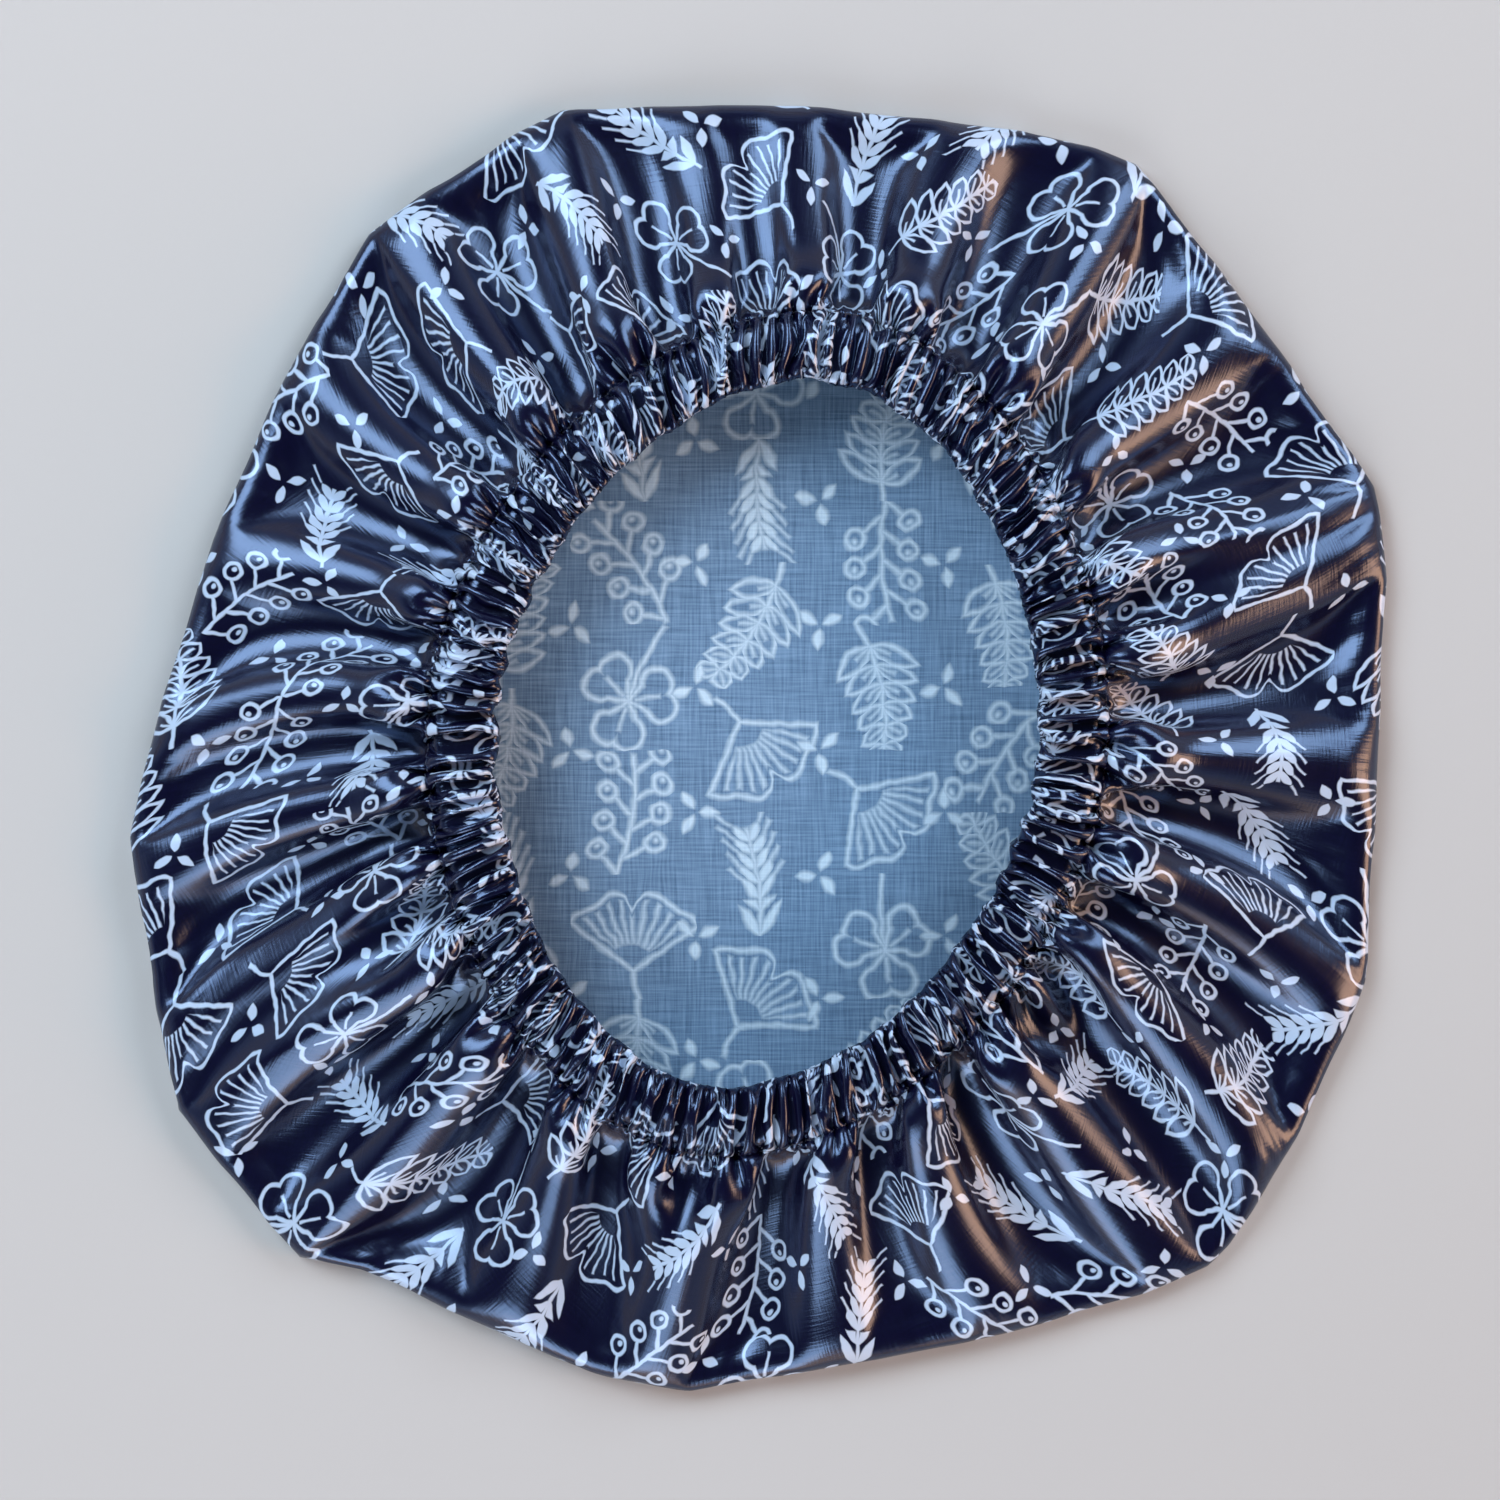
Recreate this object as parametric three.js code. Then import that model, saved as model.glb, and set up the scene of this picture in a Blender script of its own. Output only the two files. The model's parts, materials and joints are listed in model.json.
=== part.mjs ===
// Shower cap lying on its crown with the gathered mouth up.
// One circle of laminated cotton: a flat crown, folded over at the outline into a pleated skirt,
// which is gathered into a sewn casing round the mouth. A loop of flat elastic runs in the casing.
// Millimetres, +Z up. The origin is the middle of the crown, on the surface that the cap lies on.
import * as THREE from "three";

// Cloth
const CLOTH_THICKNESS = 0.5;
const CLEARANCE = 0.3;

// Outline of the flattened cap: a round of this radius with corners where the folded edge kinks
const CAP_RADIUS = 155;
// Each corner is its bearing in degrees and how far it stands outside CAP_RADIUS
const OUTLINE_CORNERS = [
  [0, -6.5], [15, 1.2], [22.7, 6.5], [56.8, 12.8], [62.5, 10], [86, -1], [107.4, 6], [126.8, 0.3],
  [142.4, -11.5], [158.8, -15.5], [175.2, -12.5], [187.7, -2.6], [203.5, 1.2], [212, 9], [228.3, 9.6],
  [232.5, 1.7], [255, -0.5], [264, 0], [292.6, -3], [305.9, 5.8], [312, 11], [325, 4], [338.9, 1.7],
];

// Folded edge and skirt
const FOLD_HEIGHT = 6;
// Bearings in degrees of the pleats' crests, which run in from kinks in the folded edge
const PLEAT_BEARINGS = [
  0, 15, 23, 40, 57, 72, 86, 97, 107, 127, 142, 159, 175, 188, 203, 212, 228, 244, 255, 264, 279, 293, 306,
  316, 325, 339,
];
// How far a crest rises and a hollow falls from the cone between the fold and the stitch line
const PLEAT_RISE = 7;
const PLEAT_FALL = 4;
// Crests rise most nearer the stitch line than the fold, by this power of the share of the way
const PLEAT_SWELL = 1.7;
const FACETS_PER_PLEAT = 4;
// Rings of vertices up the skirt, as shares of the way from the fold to the stitch line
const SKIRT_RINGS = [0.4, 0.8, 1];

// Mouth: an oval that leans over, a little off the middle of the crown
const MOUTH_LENGTH = 168;
const MOUTH_WIDTH = 127;
const MOUTH_LEAN = THREE.MathUtils.degToRad(11);
const MOUTH_ROUNDNESS = 1.8;
const MOUTH_OFFSET = new THREE.Vector2(2.4, 3.6);
const MOUTH_HEIGHT = 22;

// Elastic, joined into a loop by an overlap with a zigzag stitched across it
const ELASTIC_WIDTH = 10;
const ELASTIC_THICKNESS = 0.8;
const ELASTIC_OVERLAP = 15;
const ELASTIC_RAMP = 12;
const JOIN_BEARING = THREE.MathUtils.degToRad(200);
const ELASTIC_STEPS = 90;

// Casing: the hem turned under the skirt, with the elastic in its bend, and stitched down beyond it
const HEM_BEND = 2;
const SEAM_ROOM = 4;
const CASING_WIDTH = HEM_BEND + ELASTIC_WIDTH + SEAM_ROOM;
const RUFFLE_COUNT = 44;
const RUFFLE_DEPTH = 2;
const RIM_WAVE = 0.6;
const FACETS_PER_RUFFLE = 2;

// Sewing thread
const THREAD_DIAMETER = 0.5;
const STITCH_INSET = 1.5;
const THREAD_SIDES = 6;
const ZIGZAG_COUNT = 6;
const ZIGZAG_WIDTH = 6;
const ZIGZAG_STEPS_PER_TURN = 8;
const ZIGZAG_TENSION = 0.5;

// Sharpest corner that a strip's edge follows, as the cosine of half its turn
const CORNER_LIMIT = 0.5;

// Bearings of the facets' edges between crests at these bearings in degrees, evenly from crest to crest.
function facetBearings(crests, facets) {
  return crests.flatMap((crest, i) => {
    const next = crests[i + 1] ?? crests[0] + 360;
    return Array.from({ length: facets }, (_, facet) =>
      THREE.MathUtils.degToRad(THREE.MathUtils.lerp(crest, next, facet / facets)),
    );
  });
}

const ruffleCrests = Array.from({ length: RUFFLE_COUNT }, (_, i) => (i * 360) / RUFFLE_COUNT);
const casingBearings = facetBearings(ruffleCrests, FACETS_PER_RUFFLE);
const skirtBearings = facetBearings(PLEAT_BEARINGS, FACETS_PER_PLEAT);

const half = (size) => size / 2;
const direction = (bearing) => new THREE.Vector2(Math.cos(bearing), Math.sin(bearing));

// Distance from the middle to the outline, along straight edges from corner to corner.
function outlineRadius(bearing) {
  const degrees = THREE.MathUtils.euclideanModulo(THREE.MathUtils.radToDeg(bearing), 360);
  const last = OUTLINE_CORNERS.findLastIndex(([corner]) => corner <= degrees);
  const [fromDegrees, fromOut] = OUTLINE_CORNERS[last];
  const [nextDegrees, nextOut] = OUTLINE_CORNERS[(last + 1) % OUTLINE_CORNERS.length];
  const turn = THREE.MathUtils.degToRad(THREE.MathUtils.euclideanModulo(nextDegrees - fromDegrees, 360));
  const part = THREE.MathUtils.degToRad(degrees - fromDegrees);
  const from = CAP_RADIUS + fromOut;
  const next = CAP_RADIUS + nextOut;
  return (from * next * Math.sin(turn)) / (from * Math.sin(part) + next * Math.sin(turn - part));
}

// Distance from the mouth's own middle to its edge.
function mouthRadius(bearing) {
  const across = Math.abs(Math.cos(bearing + MOUTH_LEAN)) / half(MOUTH_WIDTH);
  const along = Math.abs(Math.sin(bearing + MOUTH_LEAN)) / half(MOUTH_LENGTH);
  return (across ** MOUTH_ROUNDNESS + along ** MOUTH_ROUNDNESS) ** (-1 / MOUTH_ROUNDNESS);
}

const outlinePoint = (bearing, inward) =>
  direction(bearing).multiplyScalar(outlineRadius(bearing) - inward);

const mouthPoint = (bearing, outward) =>
  direction(bearing).multiplyScalar(mouthRadius(bearing) + outward).add(MOUTH_OFFSET);

// Closed outline of a strip of cloth that follows a line of [x, y] points.
function strip(line, thickness) {
  const points = line.map(([x, y]) => new THREE.Vector2(x, y));
  const offset = (side) =>
    points.map((point, i) => {
      const before = points[Math.max(i - 1, 0)];
      const after = points[Math.min(i + 1, points.length - 1)];
      const into = point.clone().sub(before).normalize();
      const out = after.clone().sub(point).normalize();
      const along = into.clone().add(out).normalize();
      const lean = Math.max(along.dot(into.lengthSq() ? into : out), CORNER_LIMIT);
      return new THREE.Vector2(-along.y, along.x).multiplyScalar((side * half(thickness)) / lean).add(point);
    });
  const outline = [...offset(1), ...offset(-1).reverse()];
  return [...outline, outline[0]];
}

// Triangles of a revolved strip. Its second edge runs back along the first, so that half is split along the
// other diagonal: the two faces of the cloth then have the same facets and stay apart where these twist.
function stripTriangles(pointCount, stepCount) {
  const triangles = [];
  for (let step = 0; step < stepCount; step++) {
    for (let i = 0; i < pointCount - 1; i++) {
      const here = step * pointCount + i;
      const beside = here + pointCount;
      const firstEdge = i < half(pointCount) - 1;
      triangles.push(here, beside, firstEdge ? here + 1 : beside + 1);
      triangles.push(beside + 1, here + 1, firstEdge ? beside : here);
    }
  }
  return triangles;
}

// Revolves a closed profile of (reach, height) and moves every vertex by place(reach, bearing, height, step).
function gatheredRing(profile, bearings, place) {
  const clockwise = THREE.ShapeUtils.isClockWise(profile);
  const ordered = clockwise ? [...profile].reverse() : profile;
  const stepCount = bearings.length;
  const ring = new THREE.LatheGeometry(ordered, stepCount).rotateX(half(Math.PI));
  ring.setIndex(stripTriangles(ordered.length, stepCount));
  const positions = ring.getAttribute("position");
  const vertex = new THREE.Vector3();
  for (let i = 0; i < positions.count; i++) {
    vertex.fromBufferAttribute(positions, i);
    const turn = Math.round((Math.atan2(vertex.y, vertex.x) / (2 * Math.PI)) * stepCount);
    const step = THREE.MathUtils.euclideanModulo(turn, stepCount);
    const { point, height } = place(Math.hypot(vertex.x, vertex.y), bearings[step], vertex.z, step);
    positions.setXYZ(i, point.x, point.y, height);
  }
  return ring;
}

// Crown: the flat middle of the cloth, inside the folded edge.
function crownPanel() {
  const edge = skirtBearings.map((bearing) => outlinePoint(bearing, half(FOLD_HEIGHT) + CLEARANCE));
  return new THREE.ExtrudeGeometry(new THREE.Shape(edge), { depth: CLOTH_THICKNESS, bevelEnabled: false });
}

// Skirt: from the folded edge up and in to the casing's stitch line, in pleats that die out at both.
function gatheredSkirt() {
  const foldRadius = half(FOLD_HEIGHT - CLOTH_THICKNESS);
  const foldInward = half(FOLD_HEIGHT);
  const seamInward = CAP_RADIUS - half(MOUTH_WIDTH) - CASING_WIDTH;
  const seamHeight = MOUTH_HEIGHT + casingHeight(CASING_WIDTH);
  const line = [[foldInward, half(CLOTH_THICKNESS)]];
  line.push([foldInward - foldRadius, half(FOLD_HEIGHT)]);
  line.push([foldInward, FOLD_HEIGHT - half(CLOTH_THICKNESS)]);
  for (const share of SKIRT_RINGS) {
    const inward = THREE.MathUtils.lerp(foldInward, seamInward, share);
    line.push([inward, THREE.MathUtils.lerp(FOLD_HEIGHT - half(CLOTH_THICKNESS), seamHeight, share)]);
  }
  const profile = strip(line.map(([inward, height]) => [CAP_RADIUS - inward, height]), CLOTH_THICKNESS);
  return gatheredRing(profile, skirtBearings, (reach, bearing, height, step) => {
    const inward = CAP_RADIUS - reach;
    const share = THREE.MathUtils.clamp((inward - foldInward) / (seamInward - foldInward), 0, 1);
    const fold = outlinePoint(bearing, Math.min(inward, foldInward));
    const seam = mouthPoint(bearing, CASING_WIDTH + CLEARANCE);
    const wave = Math.cos((2 * Math.PI * step) / FACETS_PER_PLEAT);
    const rise = PLEAT_RISE * Math.sin(Math.PI * share ** PLEAT_SWELL);
    const fall = PLEAT_FALL * Math.sin(Math.PI * share);
    return { point: fold.lerp(seam, share), height: height + wave * (wave > 0 ? rise : fall) };
  });
}

// Room for the doubled elastic and its stitching, from the casing's middle to its inside.
const casingRoom = half(2 * ELASTIC_THICKNESS + CLEARANCE) + THREAD_DIAMETER + 2 * CLEARANCE;
const casingBulge = casingRoom + half(CLOTH_THICKNESS);
const casingClosed = half(CLEARANCE + CLOTH_THICKNESS);

// Height of the casing's upper layer above its middle, at a distance out from the rim.
function casingHeight(outward) {
  const share = THREE.MathUtils.clamp((CASING_WIDTH - outward) / SEAM_ROOM, 0, 1);
  return THREE.MathUtils.lerp(casingClosed, casingBulge, share);
}

// Puts a point of the casing, or of what is sewn to it, on the mouth's oval and in the ruffles.
function onCasing(reach, bearing, height) {
  const outward = reach - half(MOUTH_WIDTH);
  const ruffle = Math.cos(RUFFLE_COUNT * bearing);
  const share = THREE.MathUtils.clamp((CASING_WIDTH - outward) / SEAM_ROOM, 0, 1);
  const swell = Math.sign(height) * RUFFLE_DEPTH * share * half(1 + ruffle);
  const wave = RIM_WAVE * ruffle * Math.max(1 - outward / CASING_WIDTH, 0);
  return { point: mouthPoint(bearing, outward + wave), height: MOUTH_HEIGHT + height + swell };
}

const casingReach = (outward) => half(MOUTH_WIDTH) + outward;

// Casing: one hairpin of cloth, open along the stitch line, with the elastic between its layers.
function casingHem() {
  const upper = [CASING_WIDTH, CASING_WIDTH - SEAM_ROOM, HEM_BEND].map((outward) => [
    casingReach(outward),
    casingHeight(outward),
  ]);
  const rim = [casingReach(half(CLOTH_THICKNESS)), 0];
  const lower = upper.map(([reach, height]) => [reach, -height]).reverse();
  return gatheredRing(strip([...upper, rim, ...lower], CLOTH_THICKNESS), casingBearings, onCasing);
}

// Closed outline of a thread's section round a point.
const threadSection = (x, y) =>
  new THREE.EllipseCurve(x, y, half(THREAD_DIAMETER), half(THREAD_DIAMETER)).getPoints(THREAD_SIDES);

// Row of stitching that closes the casing: thread on the upper layer (side 1) or under the lower (side -1).
function casingThread(side) {
  const outward = CASING_WIDTH - STITCH_INSET;
  const steepest = (casingBulge + RUFFLE_DEPTH - casingClosed) / SEAM_ROOM;
  const lift = (half(CLOTH_THICKNESS + THREAD_DIAMETER) + CLEARANCE) * Math.hypot(1, steepest);
  const height = side * (casingHeight(outward) + lift);
  return gatheredRing(threadSection(casingReach(outward), height), casingBearings, onCasing);
}

// Line of the elastic's middle: once round the mouth and on over its own start.
class ElasticLine extends THREE.Curve {
  constructor() {
    super();
    this.outward = HEM_BEND + half(ELASTIC_WIDTH);
    this.overlapTurn = ELASTIC_OVERLAP / (mouthRadius(JOIN_BEARING) + this.outward);
    this.rampTurn = ELASTIC_RAMP / (mouthRadius(JOIN_BEARING) + this.outward);
  }

  // Share of the step between the two overlapping ends, from -1 at the lower to 1 at the upper.
  level(turn) {
    const fromStart = (turn - this.overlapTurn) / this.rampTurn;
    const toEnd = (2 * Math.PI - turn) / this.rampTurn;
    return THREE.MathUtils.smoothstep(1 - toEnd, 0, 1) - THREE.MathUtils.smoothstep(1 - fromStart, 0, 1);
  }

  at(turn) {
    const { x, y } = mouthPoint(JOIN_BEARING + turn, this.outward);
    const step = half(ELASTIC_THICKNESS + CLEARANCE);
    return new THREE.Vector3(x, y, MOUTH_HEIGHT + step * this.level(turn));
  }

  getPoint(share) {
    return this.at(share * (2 * Math.PI + this.overlapTurn));
  }
}

// Sweeps a flat outline along a line. The outline's x stands up and its y lies across the line.
function sweep(outline, line, steps) {
  return new THREE.ExtrudeGeometry(outline, { extrudePath: line, steps, bevelEnabled: false });
}

function elasticBand() {
  const thick = half(ELASTIC_THICKNESS);
  const wide = half(ELASTIC_WIDTH);
  const section = [[-thick, -wide], [thick, -wide], [thick, wide], [-thick, wide]];
  const outline = new THREE.Shape(section.map(([x, y]) => new THREE.Vector2(x, y)));
  return sweep(outline, new ElasticLine(), ELASTIC_STEPS);
}

// Zigzag that joins the elastic's overlapping ends, lying on the upper end.
function elasticJoinStitching() {
  const elastic = new ElasticLine();
  const lift = half(ELASTIC_THICKNESS) + CLEARANCE + half(THREAD_DIAMETER);
  const corners = Array.from({ length: ZIGZAG_COUNT + 1 }, (_, i) => {
    const turn = 2 * Math.PI + (elastic.overlapTurn * (i + 1)) / (ZIGZAG_COUNT + 2);
    const side = i % 2 ? half(ZIGZAG_WIDTH) : -half(ZIGZAG_WIDTH);
    const across = direction(JOIN_BEARING + turn).multiplyScalar(side);
    return elastic.at(turn).add(new THREE.Vector3(across.x, across.y, lift));
  });
  const round = new THREE.Shape(threadSection(0, 0).slice(1));
  const line = new THREE.CatmullRomCurve3(corners, false, "catmullrom", ZIGZAG_TENSION);
  return sweep(round, line, ZIGZAG_COUNT * ZIGZAG_STEPS_PER_TURN);
}

const material = (color, roughness) => new THREE.MeshStandardMaterial({ color, roughness, metalness: 0 });
const laminatedCotton = material(0x1f2138, 0.3);
const whiteElastic = material(0xe8e6e0, 0.8);
const navyThread = material(0x23253c, 0.6);

const cap = new THREE.Group();
function addPiece(name, geometry, finish) {
  const mesh = new THREE.Mesh(geometry, finish);
  mesh.name = name;
  cap.add(mesh);
}

addPiece("crown_panel", crownPanel(), laminatedCotton);
addPiece("gathered_skirt", gatheredSkirt(), laminatedCotton);
addPiece("casing_hem", casingHem(), laminatedCotton);
addPiece("elastic_band", elasticBand(), whiteElastic);
addPiece("elastic_join_stitching", elasticJoinStitching(), navyThread);
addPiece("casing_needle_thread", casingThread(1), navyThread);
addPiece("casing_bobbin_thread", casingThread(-1), navyThread);

// The outline's corners differ, so the middle of its box is brought to the origin.
const box = new THREE.Box3().setFromObject(cap);
const middle = box.getCenter(new THREE.Vector3());
cap.position.set(-middle.x, -middle.y, 0);

export default cap;
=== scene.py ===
"""Shower cap lying on its crown with the gathered mouth up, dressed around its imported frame.

One cut of laminated cotton is shown as three cloths that meet at the folded edge and at the casing's
stitch line. The gathers start as waves that hold the cloth's extra length, and then settle as cloth.
Metres, +Z up. The print is worked out on the flat cut, in units of its own.
"""

import json
import math

import bpy
import numpy as np
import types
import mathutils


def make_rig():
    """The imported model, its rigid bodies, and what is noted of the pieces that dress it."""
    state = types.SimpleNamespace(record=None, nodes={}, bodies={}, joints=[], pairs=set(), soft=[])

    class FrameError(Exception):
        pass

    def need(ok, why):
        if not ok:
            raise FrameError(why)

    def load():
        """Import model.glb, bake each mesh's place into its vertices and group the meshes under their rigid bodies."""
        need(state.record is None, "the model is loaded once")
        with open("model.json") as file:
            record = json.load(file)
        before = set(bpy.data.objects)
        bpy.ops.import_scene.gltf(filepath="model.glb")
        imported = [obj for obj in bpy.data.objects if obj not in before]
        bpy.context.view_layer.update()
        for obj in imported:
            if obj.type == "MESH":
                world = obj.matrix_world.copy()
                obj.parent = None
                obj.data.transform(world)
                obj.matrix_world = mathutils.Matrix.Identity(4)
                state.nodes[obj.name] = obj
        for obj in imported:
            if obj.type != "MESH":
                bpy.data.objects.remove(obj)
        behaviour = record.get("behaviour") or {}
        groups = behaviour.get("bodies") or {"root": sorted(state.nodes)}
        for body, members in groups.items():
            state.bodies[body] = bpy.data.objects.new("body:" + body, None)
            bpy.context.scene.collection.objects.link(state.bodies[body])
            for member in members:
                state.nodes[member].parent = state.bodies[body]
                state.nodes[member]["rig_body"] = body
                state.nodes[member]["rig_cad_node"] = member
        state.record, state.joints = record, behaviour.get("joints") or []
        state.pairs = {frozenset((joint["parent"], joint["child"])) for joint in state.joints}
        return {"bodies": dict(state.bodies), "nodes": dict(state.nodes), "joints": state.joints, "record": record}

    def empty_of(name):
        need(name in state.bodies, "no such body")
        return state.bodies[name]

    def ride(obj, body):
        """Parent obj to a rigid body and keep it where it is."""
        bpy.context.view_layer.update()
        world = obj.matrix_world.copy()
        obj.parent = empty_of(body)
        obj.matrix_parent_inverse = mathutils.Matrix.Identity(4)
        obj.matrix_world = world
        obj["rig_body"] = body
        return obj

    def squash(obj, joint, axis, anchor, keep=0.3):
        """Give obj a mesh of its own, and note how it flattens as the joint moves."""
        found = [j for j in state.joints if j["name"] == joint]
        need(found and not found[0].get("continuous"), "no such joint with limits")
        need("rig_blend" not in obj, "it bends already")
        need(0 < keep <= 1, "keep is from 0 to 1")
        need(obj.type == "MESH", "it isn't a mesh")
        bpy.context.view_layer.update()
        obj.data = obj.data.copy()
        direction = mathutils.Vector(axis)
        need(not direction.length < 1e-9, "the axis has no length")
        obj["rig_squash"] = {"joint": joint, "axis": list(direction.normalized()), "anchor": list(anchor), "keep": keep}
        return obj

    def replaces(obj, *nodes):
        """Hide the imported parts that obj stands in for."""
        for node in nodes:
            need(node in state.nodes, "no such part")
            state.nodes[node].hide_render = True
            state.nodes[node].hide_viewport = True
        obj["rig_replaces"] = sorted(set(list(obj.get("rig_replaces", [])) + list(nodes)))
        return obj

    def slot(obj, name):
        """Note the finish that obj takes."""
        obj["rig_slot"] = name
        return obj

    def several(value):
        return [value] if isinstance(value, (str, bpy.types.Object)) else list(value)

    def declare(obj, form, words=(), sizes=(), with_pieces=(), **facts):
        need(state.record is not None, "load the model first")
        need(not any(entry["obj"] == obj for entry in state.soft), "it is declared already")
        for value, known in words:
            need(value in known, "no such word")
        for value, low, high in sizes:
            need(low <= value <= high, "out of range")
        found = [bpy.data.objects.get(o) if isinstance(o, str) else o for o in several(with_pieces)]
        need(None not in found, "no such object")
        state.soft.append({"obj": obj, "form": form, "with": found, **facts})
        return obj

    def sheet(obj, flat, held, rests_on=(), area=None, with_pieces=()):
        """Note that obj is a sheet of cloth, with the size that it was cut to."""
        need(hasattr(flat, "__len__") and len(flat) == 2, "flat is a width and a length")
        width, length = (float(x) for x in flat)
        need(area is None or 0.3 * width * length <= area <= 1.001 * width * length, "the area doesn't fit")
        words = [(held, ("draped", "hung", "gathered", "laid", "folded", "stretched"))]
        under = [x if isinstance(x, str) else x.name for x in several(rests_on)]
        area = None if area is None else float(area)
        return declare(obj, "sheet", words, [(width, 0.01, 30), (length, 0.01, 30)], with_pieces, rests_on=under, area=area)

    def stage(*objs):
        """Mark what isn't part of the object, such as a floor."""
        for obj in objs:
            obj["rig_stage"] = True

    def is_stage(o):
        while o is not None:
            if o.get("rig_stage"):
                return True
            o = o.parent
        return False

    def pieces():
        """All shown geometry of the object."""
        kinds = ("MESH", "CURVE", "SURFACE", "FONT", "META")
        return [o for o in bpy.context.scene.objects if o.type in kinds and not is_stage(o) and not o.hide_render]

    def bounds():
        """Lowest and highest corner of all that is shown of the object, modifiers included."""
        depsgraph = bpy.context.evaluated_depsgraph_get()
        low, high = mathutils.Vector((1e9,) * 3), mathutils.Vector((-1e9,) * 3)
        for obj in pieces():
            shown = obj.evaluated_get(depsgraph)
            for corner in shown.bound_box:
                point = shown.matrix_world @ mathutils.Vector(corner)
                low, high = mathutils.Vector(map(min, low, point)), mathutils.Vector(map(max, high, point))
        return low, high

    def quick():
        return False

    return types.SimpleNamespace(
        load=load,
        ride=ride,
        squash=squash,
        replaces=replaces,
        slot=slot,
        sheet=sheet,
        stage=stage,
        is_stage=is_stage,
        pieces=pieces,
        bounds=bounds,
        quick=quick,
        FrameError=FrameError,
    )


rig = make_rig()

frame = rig.load()
cad_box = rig.bounds()

MM = 0.001
FULL_TURN = 2 * math.pi
SEED = 7

# Mouth, casing and folded edge, as in the frame
MOUTH_LENGTH = 168 * MM
MOUTH_WIDTH = 127 * MM
MOUTH_LEAN = math.radians(11)
MOUTH_ROUNDNESS = 1.8
MOUNTS = {mount["name"]: mount for mount in frame["record"]["mounts"]}
MOUTH_X, MOUTH_Y, MOUTH_HEIGHT = MOUNTS["head_opening"]["pos_m"]
CASING_WIDTH = 16 * MM
FOLD_HEIGHT = 6 * MM
ELASTIC_JOIN = math.radians(200)
PRESS = frame["record"]["behaviour"]["joints"][0]
PRESSED_SHARE = 1 - PRESS["range_m"][1] / MOUTH_HEIGHT

# Grid of the cloth
COLUMNS = 1152
FINE_BEARINGS = 8 * COLUMNS
POINTS_PER_SIDE = 40
FOLD_ROWS = 7
SKIRT_ROWS = 34
CASING_REACH = np.array([0, 0.04, 0.1, 0.18, 0.27, 0.37, 0.47, 0.57, 0.67, 0.77, 0.86, 0.93, 0.98, 1])
CROWN_ROWS = 24

# How the cloth lies
CLOTH_THICKNESS = 0.4 * MM
SKIRT_SLACK = 1.03
SLOPE_SPREAD = 0.12
SLOPE_CURVE = 1.6
CASING_SLACK = 1.12
CASING_PLUMP = 3 * MM
PLUMP_VARIES = 0.12
CASING_SHOULDER = 5 * MM
HEM_BEND = 2.4 * MM
LEAST_LIFT_BELOW = 0.25
RIM_WANDER = 0.5 * MM
CROWN_RIPPLE = 0.5 * MM
# Turns of the crown's ripples along x and along y, in radians to a metre, and their starts
CROWN_WAVES = ((41, 13, 0.6), (17, -37, 2.1), (29, 33, 4))
# How far the elastic lifts the casing's top, how much more its join does, the bearings from the join
# between which that fades, and the shares of the casing's width between which the elastic lies
ELASTIC_LIFT = 1.4 * MM
JOIN_LIFT = 0.8 * MM
JOIN_SPREAD = (0.1, 0.3)
OVER_ELASTIC = (0.15, 0.95)

# Share of the cloth's spare length that is tucked away: in the outer skirt, at the stitch line,
# and where the one goes over into the other on the way from the fold (0) to the stitch line (1)
TUCKED_SHARE = 0.78
TUCKED_AT_SEAM = 0.33
TUCKED_CHANGE = (0.66, 0.97)

# Bearings of the pleats, the long ridges. Most run out to a corner of the folded edge
RIDGES = np.radians([0, 15, 23, 40, 57, 72, 86, 97, 107, 127, 142, 159, 175, 188, 203, 212,
                     228, 244, 255, 264, 279, 293, 306, 316, 325, 339])
PUCKER_COUNT = 62
GATHER_COUNT = 150
# How much wider apart the small ridges are to the sides, and the widest gap as a multiple of the mean
SIDES_WIDER = 0.3
WIDEST_GAP = 3
# Where the waves grow and fade, on the same way, and what share of them goes
PLEATS_FADE, PLEATS_LOST = (0.6, 1), 0.95
PUCKERS_GROW = (0.4, 0.8)
PUCKERS_FADE, PUCKERS_LOST = (0.8, 1), 0.85
GATHERS_GROW = (0.55, 0.98)
# The waves' first heights and lean, which the fitting then scales, and how sharp their crests are, up to 1
WAVE_HEIGHT = 0.1
PUCKER_HEIGHT = 0.5
UNEVEN_LIMITS = (0.4, 1.7)
WAVE_LEAN = 0.5
CREST_SHARPNESS = 0.92
# Rounds of fitting the waves to the cloth's length, and the bearings over which it is shared out
FIT_ROUNDS = 20
FIT_SPREAD = 0.1

# How the cloth settles
RELAX_SWEEPS = 360
SWING_SWEEPS = 270
SWING_KEPT = 0.9
SWING_KEPT_LATE = 0.3
LONGEST_SWING = 0.5 * MM
SAG = 0.0015 * MM
LEAST_STEP = 0.08 * MM
FOLD_ROWS_HELD = 3
ABOVE_CROWN = 2.5 * CLOTH_THICKNESS
EASING_ROUNDS = 80
EASING_REACH = 2
# How firmly links across the weave's corners push
SHEARING = 0.5
# Links that resist bending: rows apart, columns apart and how firmly they push
SKIRT_BENDING = ((0, 2, 0.3), (0, 4, 0.2), (0, 8, 0.12), (0, 16, 0.1), (2, 0, 0.2), (4, 0, 0.12))
CASING_BENDING = ((0, 2, 0.06), (0, 4, 0.03), (2, 0, 0.1), (4, 0, 0.06))
# Where the skirt's stiffness fades on the way to the stitch line, and what share of it goes
STIFFNESS_FADE, STIFFNESS_LOST = (0.6, 0.88), 0.85

# Sewing. A stitch's depth in the cloth and its rise from there are in radii of the thread
THREAD_RADIUS = 0.2 * MM
THREAD_SIDES = 6
STITCH_COUNT = 500
STITCH_DEPTH = 1.2
STITCH_RISE = 2.2

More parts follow.
